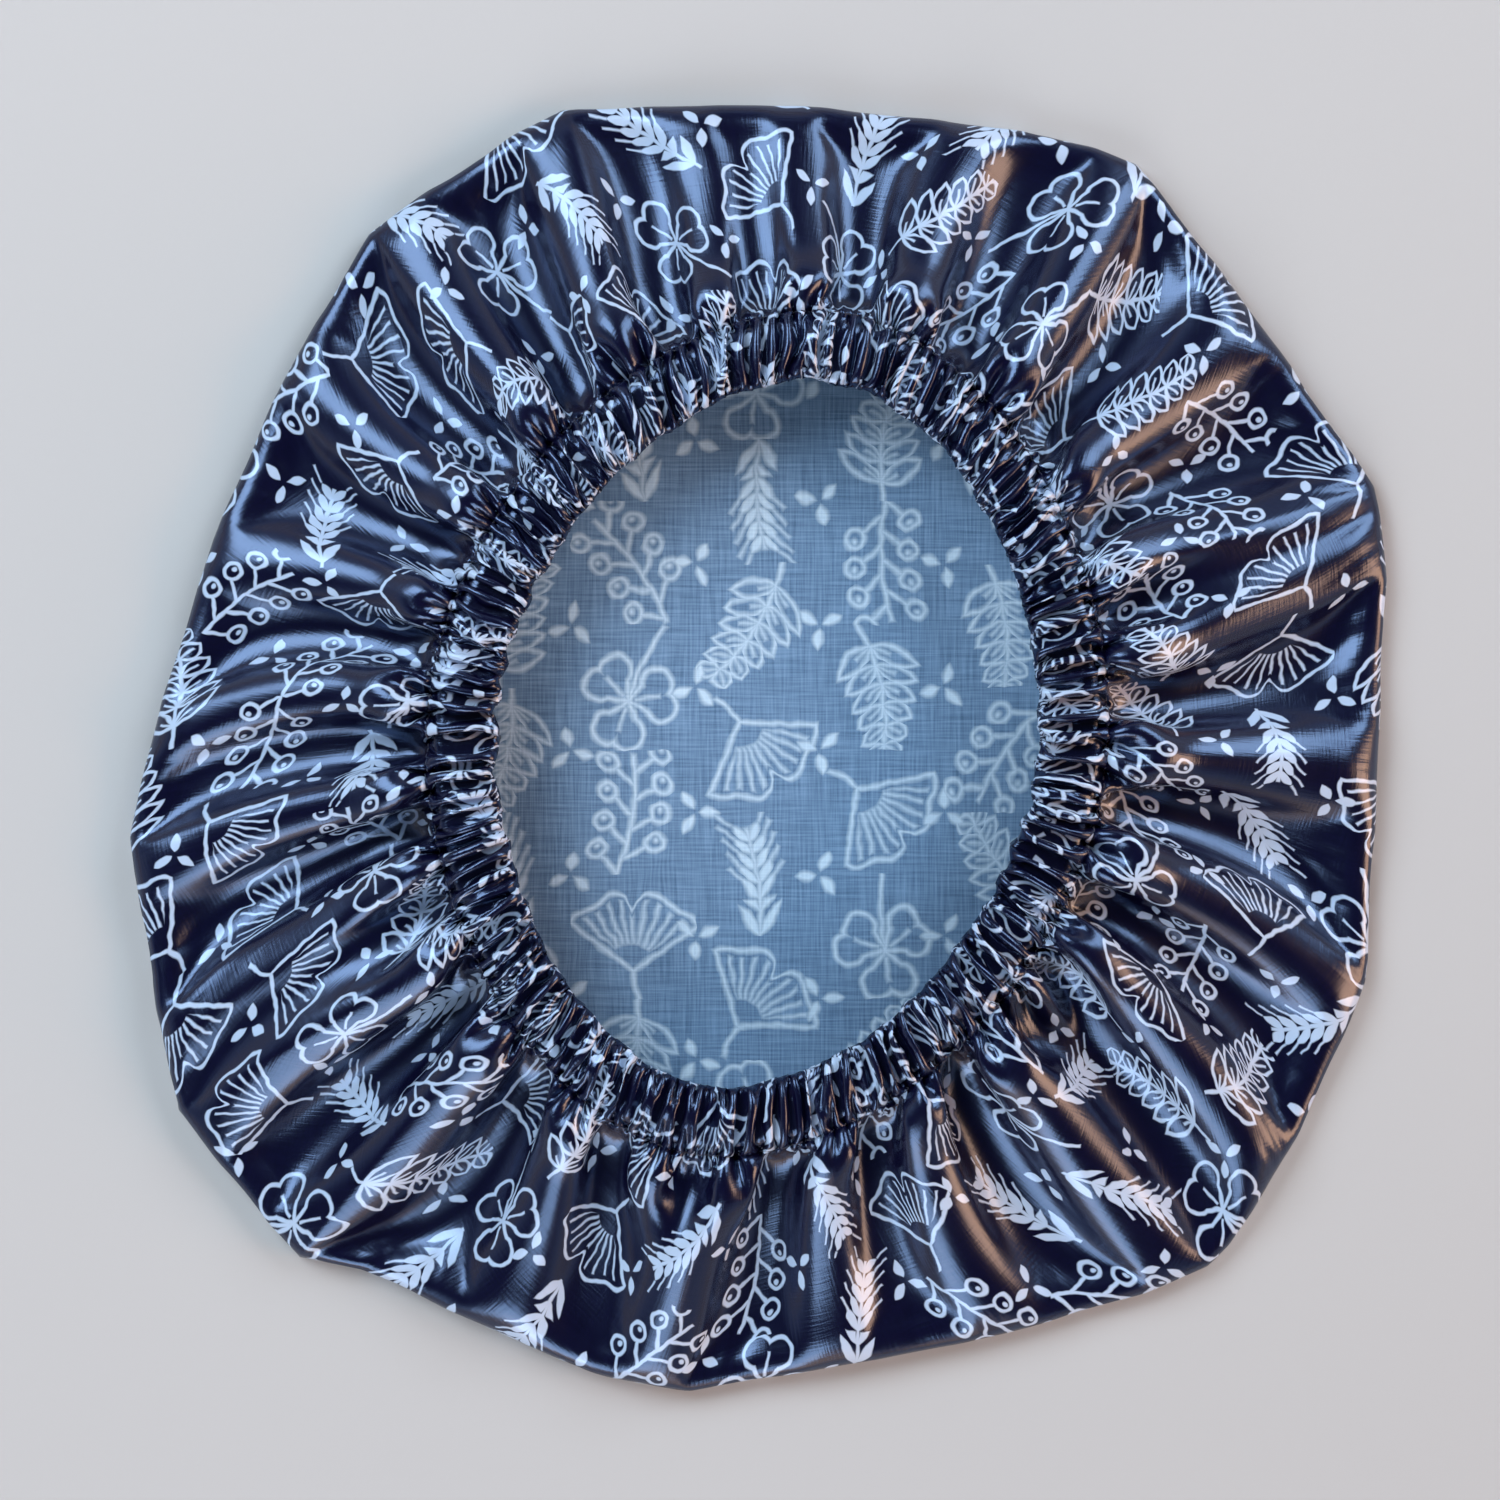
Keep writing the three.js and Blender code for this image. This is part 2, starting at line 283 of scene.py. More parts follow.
# Places on the square that each cloth is unrolled on: margins, and the middle and radius of a disc
SIDE_MARGIN = 0.004
STRIP_MARGIN = 0.04
DISCS = ((0.255, 0.25), (0.665, 0.325))

# Print, in its own units, of which one is MOTIF_SCALE millimetres on the flat cut
MOTIF_SCALE = 1.15
REPEAT = 26.0
LINE = 0.85
WOBBLE = 1.4
WOBBLES_TO_A_METRE = 230
MOTIF_LEAN = 1.6
# Further than any motif reaches
FAR_OFF = 100

# Colours of the cloth and the rest, from dark to light where there are two
NAVY = ((0.0014, 0.0012, 0.009, 1), (0.0040, 0.0036, 0.024, 1))
INK = (0.46, 0.58, 0.76, 1)
BLUE_COTTON = ((0.080, 0.152, 0.26, 1), (0.205, 0.335, 0.51, 1))
PALE_COTTON = ((0.42, 0.57, 0.72, 1), (0.60, 0.74, 0.85, 1))
WHITE_ELASTIC = ((0.62, 0.60, 0.56, 1), (0.86, 0.85, 0.82, 1))
NAVY_THREAD = (0.012, 0.014, 0.038, 1)
FILM_TINT = (0.44, 0.62, 1, 1)
FLOOR_GREY = (0.50, 0.50, 0.50, 1)

# Lights: name, place, width, watts and colour
COOL = (0.78, 0.90, 1.0)
LIGHTS = (
    ("key", (-0.78, 0.72, 1.05), 0.85, 20, COOL),
    ("side", (0.95, 0.8, 0.8), 0.75, 12, COOL),
    ("front", (-0.3, -1.15, 0.7), 0.75, 10, COOL),
    ("warm", (4.55, -0.88, 1.47), 2.45, 180, (1.0, 0.45, 0.19)),
    ("low", (-0.35, -4.9, 1.26), 3.15, 48, (1.0, 0.50, 0.22)),
)
# The room's colours, each at the sine of its height over the horizon
ROOM_LOW = (0.15, (0.60, 0.46, 0.36, 1))
ROOM_MIDDLE = (0.34, (0.40, 0.46, 0.56, 1))
ROOM_HIGH = (0.62, (0.02, 0.022, 0.03, 1))
FLOOR_REACH = 40
FLOOR_LEVEL = -0.2 * MM
# Distances over which the floor changes from lit to giving its own pale grey
FLOOR_LIT = 0.7
FLOOR_CHANGE = 1.3

# Camera straight above, whose picture is PICTURE_WIDTH wide at PICTURE_DISTANCE
CAMERA_PLACE = (-1.7 * MM, 0, 0.8)
SENSOR_WIDTH = 36
PICTURE_DISTANCE = 0.797
PICTURE_WIDTH = 0.36


def smoothstep(low, high, value):
    share = np.clip((value - low) / (high - low), 0, 1)
    return share * share * (3 - 2 * share)


def direction(bearing):
    return np.stack([np.cos(bearing), np.sin(bearing)], axis=-1)


def around_cap(count):
    return np.linspace(0, FULL_TURN, count, endpoint=False)


def smooth_round(line, spread):
    """A line round the cap, smoothed over a spread of bearings."""
    turns = np.fft.rfftfreq(len(line), 1 / len(line))
    return np.fft.irfft(np.fft.rfft(line) * np.exp(-0.5 * (turns * spread) ** 2), len(line))


def slow_noise(bearing, draw, most):
    """A smooth random line round the cap, about -1 to 1."""
    total = np.zeros_like(bearing)
    for turns in range(1, most + 1):
        total += draw.normal() * np.cos(turns * bearing + draw.uniform(0, FULL_TURN))
    return total / math.sqrt(most)


def running_length(points):
    """Length along a closed line of points from the first, with the whole length last."""
    steps = np.linalg.norm(np.roll(points, -1, axis=0) - points, axis=1)
    return np.concatenate([[0], np.cumsum(steps)])


def outline_radius(bearing):
    """Distance to the folded edge, from the outermost vertices of the skirt's solid."""
    solid = frame["nodes"]["gathered_skirt"]
    points = np.array([solid.matrix_world @ vertex.co for vertex in solid.data.vertices])
    ring = points[np.abs(points[:, 2] - FOLD_HEIGHT / 2) < CLOTH_THICKNESS]
    degrees = np.round(np.degrees(np.arctan2(ring[:, 1], ring[:, 0]))).astype(int)
    outermost = []
    for degree in np.unique(degrees):
        here = ring[degrees == degree]
        outermost.append(here[np.argmax(np.hypot(here[:, 0], here[:, 1])), :2])
    corners = np.array(outermost)
    share = np.linspace(0, 1, POINTS_PER_SIDE, endpoint=False)[:, None, None]
    line = (corners + (np.roll(corners, -1, axis=0) - corners) * share).reshape(-1, 2)
    turn = np.arctan2(line[:, 1], line[:, 0])
    return np.interp(bearing, turn, np.hypot(line[:, 0], line[:, 1]), period=FULL_TURN)


def mouth_point(bearing, outward):
    """A point on the level line that runs that far outside the rim."""
    across = np.abs(np.cos(bearing + MOUTH_LEAN)) / (MOUTH_WIDTH / 2)
    along = np.abs(np.sin(bearing + MOUTH_LEAN)) / (MOUTH_LENGTH / 2)
    radius = (across**MOUTH_ROUNDNESS + along**MOUTH_ROUNDNESS) ** (-1 / MOUTH_ROUNDNESS)
    return np.array([MOUTH_X, MOUTH_Y]) + direction(bearing) * (radius + outward)[:, None]


def scattered_ridges(count, spread, draw):
    """Bearings of ridges at random distances, which are larger to the left and right of the mouth."""
    sides = np.cos(2 * around_cap(count))
    widths = np.exp(spread * draw.normal(size=count) + SIDES_WIDER * sides)
    return np.cumsum(widths) / widths.sum() * FULL_TURN


def ripple(fine, ridges, spread, uneven, broad, draw):
    """A wave round the cap with a crest at each ridge, higher where the ridges are far apart.

    Above 1, broad widens the crests and pinches the hollows.
    """
    count = len(ridges)
    turned = (fine - ridges[0]) % FULL_TURN
    ends = np.append(ridges, ridges[0] + FULL_TURN) - ridges[0]
    drift = np.interp(turned, ends, FULL_TURN * np.arange(count + 1)) - count * turned
    phase = count * (fine - ridges[0]) + smooth_round(drift, spread)
    apart = FULL_TURN / np.maximum(np.gradient(phase, fine), count / WIDEST_GAP)
    height = np.clip(1 + uneven * slow_noise(fine, draw, most=24), *UNEVEN_LIMITS)
    height *= WAVE_HEIGHT * np.sqrt(apart * FULL_TURN / count)
    wave = np.arcsin(CREST_SHARPNESS * np.cos(phase)) / math.asin(CREST_SHARPNESS)
    return height * (1 - 2 * ((1 - wave) / 2) ** broad)


class Gathers:
    """The waves of the gathered cloth, on the way from the fold (0) to the stitch line (1)."""

    def __init__(self, fine, draw):
        self.pleats = ripple(fine, RIDGES, spread=0.03, uneven=0.15, broad=1, draw=draw)
        ridges = scattered_ridges(PUCKER_COUNT, spread=0.3, draw=draw)
        self.puckers = ripple(fine, ridges, spread=0.01, uneven=0.25, broad=1.2, draw=draw)
        ridges = scattered_ridges(GATHER_COUNT, spread=0.45, draw=draw)
        self.gathers = ripple(fine, ridges, spread=0.004, uneven=0.15, broad=2, draw=draw)
        self.pleat_lean = WAVE_LEAN * slow_noise(fine, draw, most=12)
        self.gather_lean = WAVE_LEAN * slow_noise(fine, draw, most=40)

    def at(self, share):
        """Heights and sideways lean of the waves, before they are fitted to the cloth's length."""
        pleats = self.pleats * (1 - PLEATS_LOST * smoothstep(*PLEATS_FADE, share))
        puckers = self.puckers * PUCKER_HEIGHT * smoothstep(*PUCKERS_GROW, share)
        puckers = puckers * (1 - PUCKERS_LOST * smoothstep(*PUCKERS_FADE, share))
        gathers = self.gathers * smoothstep(*GATHERS_GROW, share)
        lean = self.pleat_lean * pleats + self.gather_lean * (puckers + gathers)
        return pleats + puckers + gathers, lean


def fit_waves(along, height, lean, wanted):
    """Scales the waves, bearing by bearing, until a line has the wanted length.

    Returns how far on and how high its points are, and the lengths of cloth up to them.
    """
    base_steps = np.diff(along)
    local_base = smooth_round(base_steps, FIT_SPREAD) ** 2
    spare = np.maximum(smooth_round(np.diff(wanted), FIT_SPREAD) ** 2 - local_base, 0)
    scale = np.ones_like(base_steps)
    for _ in range(FIT_ROUNDS):
        sideways = np.append(scale * lean, scale[0] * lean[0])
        upwards = np.append(scale * height, scale[0] * height[0])
        steps = np.hypot(base_steps + np.diff(sideways), np.diff(upwards))
        excess = np.maximum(smooth_round(steps, FIT_SPREAD) ** 2 - local_base, 1e-14)
        scale *= np.clip(np.sqrt(spare / excess), 0.5, 2)
    return along + sideways, upwards, np.concatenate([[0], np.cumsum(steps)])


class Layout:
    """Lines round the cap at fine bearings, and the cloth's rows laid along them."""

    def __init__(self):
        draw = np.random.default_rng(SEED)
        self.fine = around_cap(FINE_BEARINGS)
        self.waves = Gathers(self.fine, draw)
        self.plump = CASING_PLUMP * (1 + PLUMP_VARIES * slow_noise(self.fine, draw, most=30))
        self.wander = RIM_WANDER * slow_noise(self.fine, draw, most=60)
        self.bend = (FOLD_HEIGHT - CLOTH_THICKNESS) / 2
        self.edge = outline_radius(self.fine) - self.bend
        self.edge_points = direction(self.fine) * self.edge[:, None]
        self.seam_points = mouth_point(self.fine, np.full(FINE_BEARINGS, CASING_WIDTH))
        self.rise = MOUTH_HEIGHT - FOLD_HEIGHT + CLOTH_THICKNESS / 2
        span = np.linalg.norm(self.edge_points - self.seam_points, axis=1)
        self.slope = smooth_round(SKIRT_SLACK * np.hypot(span, self.rise), SLOPE_SPREAD)
        self.seam_radius = self.edge + math.pi * self.bend + self.slope

    def row(self, base, level, flat_radius, tucked, height, lean):
        """Lays the columns along a line, with waves for the cloth's spare length but its tucked share.

        Returns the columns' points, their places on the flat cut and their distances apart when smooth.
        """
        along = running_length(base)
        tight_radius = smooth_round(np.diff(along), FIT_SPREAD) * FINE_BEARINGS / FULL_TURN
        radius = tight_radius + (flat_radius - tight_radius) * (1 - tucked)
        wanted = running_length(direction(self.fine) * radius[:, None])
        ahead, upwards, travelled = fit_waves(along, height, lean, wanted)
        every = FINE_BEARINGS // COLUMNS
        way = wanted[:-1:every] / wanted[-1] * travelled[-1]
        three_rounds = np.concatenate([along[:-1] - along[-1], along[:-1], along[:-1] + along[-1]])
        three_turns = np.concatenate([self.fine - FULL_TURN, self.fine, self.fine + FULL_TURN])
        bearing = np.interp(np.interp(way, travelled, ahead), three_rounds, three_turns)
        x, y, z = (np.interp(bearing, self.fine, line, period=FULL_TURN) for line in (*base.T, level))
        points = np.stack([x, y, z + np.interp(way, travelled, upwards)], axis=-1)
        flat = direction(self.fine) * flat_radius[:, None]
        return points, flat[::every], radius[::every] * FULL_TURN / COLUMNS

    def skirt_row(self, turn, share):
        """A row at a turn round the fold's bend, or a share of the way from there to the stitch line."""
        outward = direction(self.fine) * (self.bend * math.sin(turn))
        base = self.edge_points + outward + (self.seam_points - self.edge_points) * share
        climbed = 1 - (1 - share) ** SLOPE_CURVE
        level = CLOTH_THICKNESS / 2 + self.bend * (1 - math.cos(turn)) + self.rise * climbed
        height, lean = self.waves.at(share)
        raised = smoothstep(math.pi / 2, math.pi, turn)
        flat_radius = self.edge + self.bend * turn + self.slope * share
        tucked = TUCKED_SHARE + (TUCKED_AT_SEAM - TUCKED_SHARE) * smoothstep(*TUCKED_CHANGE, share)
        level = np.full(FINE_BEARINGS, level)
        return self.row(base, level, flat_radius, tucked, height * raised, lean * raised)

    def skirt(self):
        rows = [self.skirt_row(turn, 0) for turn in np.linspace(0, math.pi, FOLD_ROWS)]
        rows += [self.skirt_row(math.pi, share) for share in np.linspace(0, 1, SKIRT_ROWS + 1)[1:]]
        return [np.array(grid) for grid in zip(*rows)]

    def casing_row(self, side, reach):
        """A row of the casing, that share of the way from the stitch line to the rim.

        It runs above the elastic where side is 1 and below it where side is -1.
        """
        inward = reach * CASING_WIDTH
        base = mouth_point(self.fine, CASING_WIDTH - inward + self.wander * reach)
        lift = math.sin(math.pi / 2 * min(1, inward / CASING_SHOULDER))
        lift *= math.sqrt(1 - (max(0, inward - CASING_WIDTH + HEM_BEND) / HEM_BEND) ** 2)
        if side < 0:
            lift = max(lift, LEAST_LIFT_BELOW * (reach < 0.5))
        cloth = CASING_SLACK * (inward if side > 0 else 2 * CASING_WIDTH - inward)
        level = MOUTH_HEIGHT + side * lift * self.plump
        return self.row(base, level, self.seam_radius + cloth, TUCKED_AT_SEAM, *self.waves.at(1))

    def casing(self):
        """Rows over the top from the stitch line to the rim, and rows from there back underneath."""
        rows = [self.casing_row(1, reach) for reach in CASING_REACH]
        rows += [self.casing_row(-1, reach) for reach in CASING_REACH[-2::-1]]
        return [np.array(grid) for grid in zip(*rows)]


def cloth_links(rows, columns, down, across):
    """Pairs of grid points that many rows and columns apart, in two batches without a point twice."""
    row, column = np.meshgrid(np.arange(rows - down), np.arange(columns), indexing="ij")
    first = row * columns + column
    second = (row + down) * columns + (column + across) % columns
    early = ((row // down if down else column // across) % 2) == 0
    return [(first[early], second[early]), (first[~early], second[~early])]


def keep_order(points, free, first, second, inward):
    """Pushes neighbours apart where the cloth would fold back over itself, seen from above.

    The second of each pair lies further round the cap than the first, or further inward.
    """
    here = points[first, :2]
    outward = here / np.linalg.norm(here, axis=1, keepdims=True)
    way = -outward if inward else np.stack([-outward[:, 1], outward[:, 0]], axis=-1)
    ahead = np.einsum("ij,ij->i", points[second, :2] - here, way)
    push = np.maximum(LEAST_STEP - ahead, 0) / (free[first] + free[second] + 1e-9)
    points[first, :2] -= way * (push * free[first])[:, None]
    points[second, :2] += way * (push * free[second])[:, None]


def relax(start, flat, apart, held, lowest, bending, stiffness):
    """Lets the free points swing and settle until the cloth has about its own lengths again.

    Each row resists bending by its own share of the stiffness.
    """
    rows, columns, _ = start.shape
    points = start.reshape(-1, 3).copy()
    reach = np.linalg.norm(flat, axis=2).reshape(-1)
    apart = apart.reshape(-1)
    free = np.where(held, 0.0, 1.0).reshape(-1)
    lowest = np.where(held, -1, lowest).reshape(-1)
    batches = []
    weave = ((0, 1, 1), (1, 0, 1), (1, 1, SHEARING), (1, -1, SHEARING))
    for down, across, firm in weave + bending:
        for first, second in cloth_links(rows, columns, down, across):
            moved = free[first] + free[second] > 0
            first, second = first[moved], second[moved]
            below = first + down * columns if down else second
            rest = np.hypot(across * (apart[first] + apart[second]) / 2, reach[below] - reach[first])
            share = stiffness[first // columns] if (down, across, firm) in bending else 1
            batches.append((first, second, rest, firm * share / (free[first] + free[second])))
    neighbours = [(first, second, False) for first, second in cloth_links(rows, columns, 0, 1)]
    for first, second in cloth_links(rows, columns, 1, 0):
        moved = free[first] > 0
        neighbours.append((first[moved], second[moved], True))
    before = points.copy()
    for sweep in range(RELAX_SWEEPS):
        kept = SWING_KEPT if sweep < SWING_SWEEPS else SWING_KEPT_LATE
        step = np.clip((points - before) * kept, -LONGEST_SWING, LONGEST_SWING)
        before = points.copy()
        points += step * free[:, None]
        points[:, 2] -= SAG * free
        for first, second, rest, firm in batches:
            gap = points[second] - points[first]
            length = np.sqrt(np.einsum("ij,ij->i", gap, gap)) + 1e-12
            push = gap * (firm * (1 - rest / length))[:, None]
            points[first] += push * free[first][:, None]
            points[second] -= push * free[second][:, None]
        if sweep > SWING_SWEEPS:
            for first, second, inward in neighbours:
                keep_order(points, free, first, second, inward)
        points[:, 2] = np.maximum(points[:, 2], lowest)
    return points.reshape(start.shape)


def ease_overhangs(points, kept):
    """Smooths the cloth, but for the rows kept, where its woven side would still face up."""
    for _ in range(EASING_ROUNDS):
        under = (grid_normals(points)[..., 2] < 0) & ~kept
        if not under.any():
            break
        for _ in range(EASING_REACH):
            wider = under | np.roll(under, 1, axis=1) | np.roll(under, -1, axis=1)
            wider[1:] |= under[:-1]
            wider[:-1] |= under[1:]
            under = wider & ~kept
        beside = np.roll(points, 1, axis=1) + np.roll(points, -1, axis=1)
        ends = np.concatenate([points[:1], points, points[-1:]])
        points = np.where(under[..., None], (beside + ends[2:] + ends[:-2]) / 4, points)
    return points


def relaxed_skirt(start, flat, apart):
    held = np.zeros(start.shape[:2], bool)
    held[:FOLD_ROWS_HELD] = True
    held[-1] = True
    lowest = np.full(start.shape[:2], ABOVE_CROWN)
    lowest[:FOLD_ROWS] = CLOTH_THICKNESS / 2
    up_the_skirt = (np.arange(len(start)) - FOLD_ROWS + 1) / SKIRT_ROWS
    stiffness = 1 - STIFFNESS_LOST * smoothstep(*STIFFNESS_FADE, up_the_skirt)
    settled = relax(start, flat, apart, held, lowest, SKIRT_BENDING, stiffness)
    held[:FOLD_ROWS] = True
    return ease_overhangs(settled, held)


def relaxed_casing(start, flat, apart):
    """The top of the casing settles over the elastic. The rest keeps its waves."""
    top = len(CASING_REACH)
    held = np.zeros((top, COLUMNS), bool)
    held[0] = True
    held[-1] = True
    from_join = np.abs((around_cap(COLUMNS) - ELASTIC_JOIN + math.pi) % FULL_TURN - math.pi)
    elastic_top = MOUTH_HEIGHT + ELASTIC_LIFT + JOIN_LIFT * (1 - smoothstep(*JOIN_SPREAD, from_join))
    low, high = OVER_ELASTIC
    over = (CASING_REACH > low) & (CASING_REACH < high)
    lowest = np.where(over[:, None], elastic_top, 0)
    settled = relax(start[:top], flat[:top], apart[:top], held, lowest, CASING_BENDING, np.ones(top))
    return np.concatenate([settled, start[top:]])


def twice_as_fine(grid):
    """A grid with a column more between each two, on a smooth curve through them."""
    before, after, beyond = (np.roll(grid, shift, axis=1) for shift in (1, -1, -2))
    between = (9 * (grid + after) - before - beyond) / 16
    return np.stack([grid, between], axis=2).reshape(grid.shape[0], -1, grid.shape[2])


def crown_rows(edge, flat_edge):
    """Rows of the crown from near its middle to its edge, with the faint ripple of cloth on a table."""
    share = np.linspace(0, 1, CROWN_ROWS + 1)[1:, None]
    flat = flat_edge[None] * share[:, :, None]
    x, y = edge[:, 0] * share, edge[:, 1] * share
    wave = sum(np.sin(along_x * x + along_y * y + start) for along_x, along_y, start in CROWN_WAVES)
    z = CLOTH_THICKNESS / 2 + CROWN_RIPPLE * (wave / len(CROWN_WAVES) + 1) * (1 - share**6)
    return np.stack([x, y, z], axis=-1), flat


def grid_normals(grid):
    """Directions out of the printed side."""
    down = np.gradient(grid, axis=0)
    along = np.roll(grid, -1, axis=1) - np.roll(grid, 1, axis=1)
    normal = np.cross(along, down)
    return normal / (np.linalg.norm(normal, axis=2, keepdims=True) + 1e-15)


def unrolled(rows, columns, strips, shares):
    """Places on a square for a ring of cloth cut into strips. Shares are the layers' parts of it."""

    def place(layer, face_column, row, column):
        wide = columns // strips
        strip = face_column // wide
        tall = shares[layer] / strips
        across = (column - strip * wide) / wide
        up = strip + STRIP_MARGIN + (1 - 2 * STRIP_MARGIN) * row / (rows - 1)
        across = SIDE_MARGIN + (1 - 2 * SIDE_MARGIN) * across
        return np.stack([across, sum(shares[:layer]) + tall * up], axis=-1)

    return place


def two_discs(flat):
    """Places on a square for a round of cloth: its printed side small, its woven side large."""
    columns = flat.shape[1]
    size = np.abs(flat).max()

    def place(layer, face_column, row, column):
        middle, radius = DISCS[layer]
        return middle + flat[row, column % columns] * radius / size

    return place


def cloth_piece(name, grid, flat, place, layers, middle=False):
    """A ring of cloth, as its printed side only or as both sides with their edges closed."""
    rows, columns, _ = grid.shape
    offset = grid_normals(grid) * CLOTH_THICKNESS / 2
    points = [(grid + offset * side).reshape(-1, 3) for side in (1, -1)[:layers]]
    grid_places = np.meshgrid(np.arange(rows - 1), np.arange(columns), indexing="ij")
    row, column = (index.ravel() for index in grid_places)
    corners = ((0, 0), (0, 1), (1, 1), (1, 0))
    faces, uvs, sides = [], [], []

    def add_faces(layer, vertices, places):
        faces.extend(np.stack(vertices, axis=-1).tolist())
        uvs.append(np.stack(places, axis=1).reshape(-1, 2))
        sides.extend([layer] * len(vertices[0]))

    for layer in range(layers):
        order = corners if layer == 0 else corners[::-1]
        first = layer * rows * columns
        add_faces(layer, [first + (row + r) * columns + (column + c) % columns for r, c in order],
                  [place(layer, column, row + r, column + c) for r, c in order])
    ring = np.arange(columns)
    ends = [] if layers == 1 else [rows - 1] if middle else [0, rows - 1]
    for end in ends:
        turn = ((1, 0), (0, 0), (0, 1), (1, 1)) if end == 0 else ((0, 0), (1, 0), (1, 1), (0, 1))
        edge = [(layer * rows + end) * columns + (ring + c) % columns for c, layer in turn]
        add_faces(0, edge, [place(0, ring, np.full(columns, end), ring + c) for c, _ in turn])
    if middle:
        for layer in range(layers):
            first = layer * rows * columns
            centre = layers * rows * columns + layer
            points.append(points[layer][:columns].mean(axis=0, keepdims=True))
            order = (1, 0) if layer == 0 else (0, 1)
            spokes = [place(layer, ring, np.zeros(columns, int), ring + c) for c in order]
            hub = np.full((columns, 2), spokes[0].mean(axis=0))
            rim = [first + (ring + c) % columns for c in order]
            add_faces(layer, rim + [np.full(columns, centre)], spokes + [hub])
    mesh = bpy.data.meshes.new(name)
    mesh.from_pydata(np.concatenate(points).tolist(), [], faces)
    mesh.uv_layers.new(name="OFBake").data.foreach_set("uv", np.concatenate(uvs).ravel())
    lie = np.zeros((len(mesh.vertices), 3))
    lie[:layers * rows * columns, :2] = np.concatenate([flat.reshape(-1, 2)] * layers)
    mesh.attributes.new("flat_cut", "FLOAT_VECTOR", "POINT").data.foreach_set("vector", lie.ravel())
    mesh.polygons.foreach_set("material_index", sides)
    return finish_mesh(name, mesh)


def finish_mesh(name, mesh):
    mesh.polygons.foreach_set("use_smooth", np.ones(len(mesh.polygons), bool))
    mesh.validate()
    piece = bpy.data.objects.new(name, mesh)
    bpy.context.scene.collection.objects.link(piece)
    return piece


def thread_ring(name, line, out):
    """A row of stitches as a closed thread.

    It stands proud along each stitch and sinks where it goes through the cloth.
    """
    count = len(line)
    stitch = np.abs(np.sin(np.arange(count) * math.pi * STITCH_COUNT / count))
    centre = line + out * (THREAD_RADIUS * (STITCH_RISE * stitch - STITCH_DEPTH))[:, None]
    along = np.roll(centre, -1, axis=0) - np.roll(centre, 1, axis=0)
    along /= np.linalg.norm(along, axis=1, keepdims=True)
    sideways = np.cross(along, out)
    sideways /= np.linalg.norm(sideways, axis=1, keepdims=True)
    upright = np.cross(sideways, along)
    angles = around_cap(THREAD_SIDES)
    rows = [centre + THREAD_RADIUS * (math.cos(a) * upright + math.sin(a) * sideways) for a in angles]
    points = np.stack(rows, axis=1).reshape(-1, 3)
    grid_places = np.meshgrid(np.arange(count), np.arange(THREAD_SIDES), indexing="ij")
    ring, side = (index.ravel() for index in grid_places)
    here, after = ring * THREAD_SIDES, (ring + 1) % count * THREAD_SIDES
    beside = (side + 1) % THREAD_SIDES
    faces = np.stack([here + side, after + side, after + beside, here + beside], axis=-1)
    mesh = bpy.data.meshes.new(name)
    mesh.from_pydata(points.tolist(), [], faces.tolist())
    return finish_mesh(name, mesh)


class Formula:
    """A number in a node tree, combined by plain arithmetic."""

    def __init__(self, tree, socket):
        self.tree = tree
        self.socket = socket

    def math(self, operation, *others):
        node = self.tree.nodes.new("ShaderNodeMath")
        node.operation = operation
        for slot, term in zip(node.inputs, (self, *others)):
            if isinstance(term, Formula):
                self.tree.links.new(term.socket, slot)
            else:
                slot.default_value = term
        return Formula(self.tree, node.outputs[0])

    def __add__(self, other):
        return self.math("ADD", other)

    def __sub__(self, other):
        return self.math("SUBTRACT", other)

    def __mul__(self, other):
        return self.math("MULTIPLY", other)

    def __truediv__(self, other):
        return self.math("DIVIDE", other)

    def __abs__(self):
        return self.math("ABSOLUTE")

    def __round__(self):
        return (self + 0.5).math("FLOOR")

    def least(self, other):
        return self.math("MINIMUM", other)

    def most(self, other):
        return self.math("MAXIMUM", other)

    def between(self, low, high):
        return self.most(low).least(high)


def length_of(x, y):
    return (x * x + y * y).math("SQRT")


def turned(x, y, angle):
    """A point as seen after the cloth is turned by an angle."""
    cosine, sine = angle.math("COSINE"), angle.math("SINE")
    return x * cosine + y * sine, y * cosine - x * sine


def outlined(shape):
    return abs(shape) - LINE / 2


def stroke(across, along, low, high, width=LINE):
    """A straight line of ink, from low to high along it."""
    return (abs(across) - width / 2).most(abs(along - (low + high) / 2) - (high - low) / 2)


def blade(along, across, length, width):
    """A leaf that starts at 0 and ends in a point."""
    return abs(across) - along * (along * -1 + length) * (2 * width) / (length * length)


def beside_stem(x, y, angle, pitch, first, count):
    """Place along and across the nearest of the shoots that leave a stem at an angle, and its number."""
    side = abs(x)
    number = round((y - side / math.tan(angle) - first) / pitch).between(0, count - 1)
    up = y - number * pitch - first
    along = side * math.sin(angle) + up * math.cos(angle)
    across = up * math.sin(angle) - side * math.cos(angle)
    return along, across, number


def in_thirds(x, y):
    """Place along and across the nearest of three rays from the middle."""
    radius = length_of(x, y)
    angle = x.math("ARCTAN2", y)
    angle = angle - round(angle / (FULL_TURN / 3)) * (FULL_TURN / 3)
    return angle.math("COSINE") * radius, angle.math("SINE") * radius


def fern(x, y):
    x = x - y * y * 0.012
    along, across, number = beside_stem(x, y, math.radians(56), 4.2, -9, 6)
    leaflet = outlined(blade(along, across, number * -1.1 + 10, 3.6))
    vein = stroke(across, along, 0, 4, 0.5)
    return leaflet.least(vein).least(stroke(x, y, -14, 14))


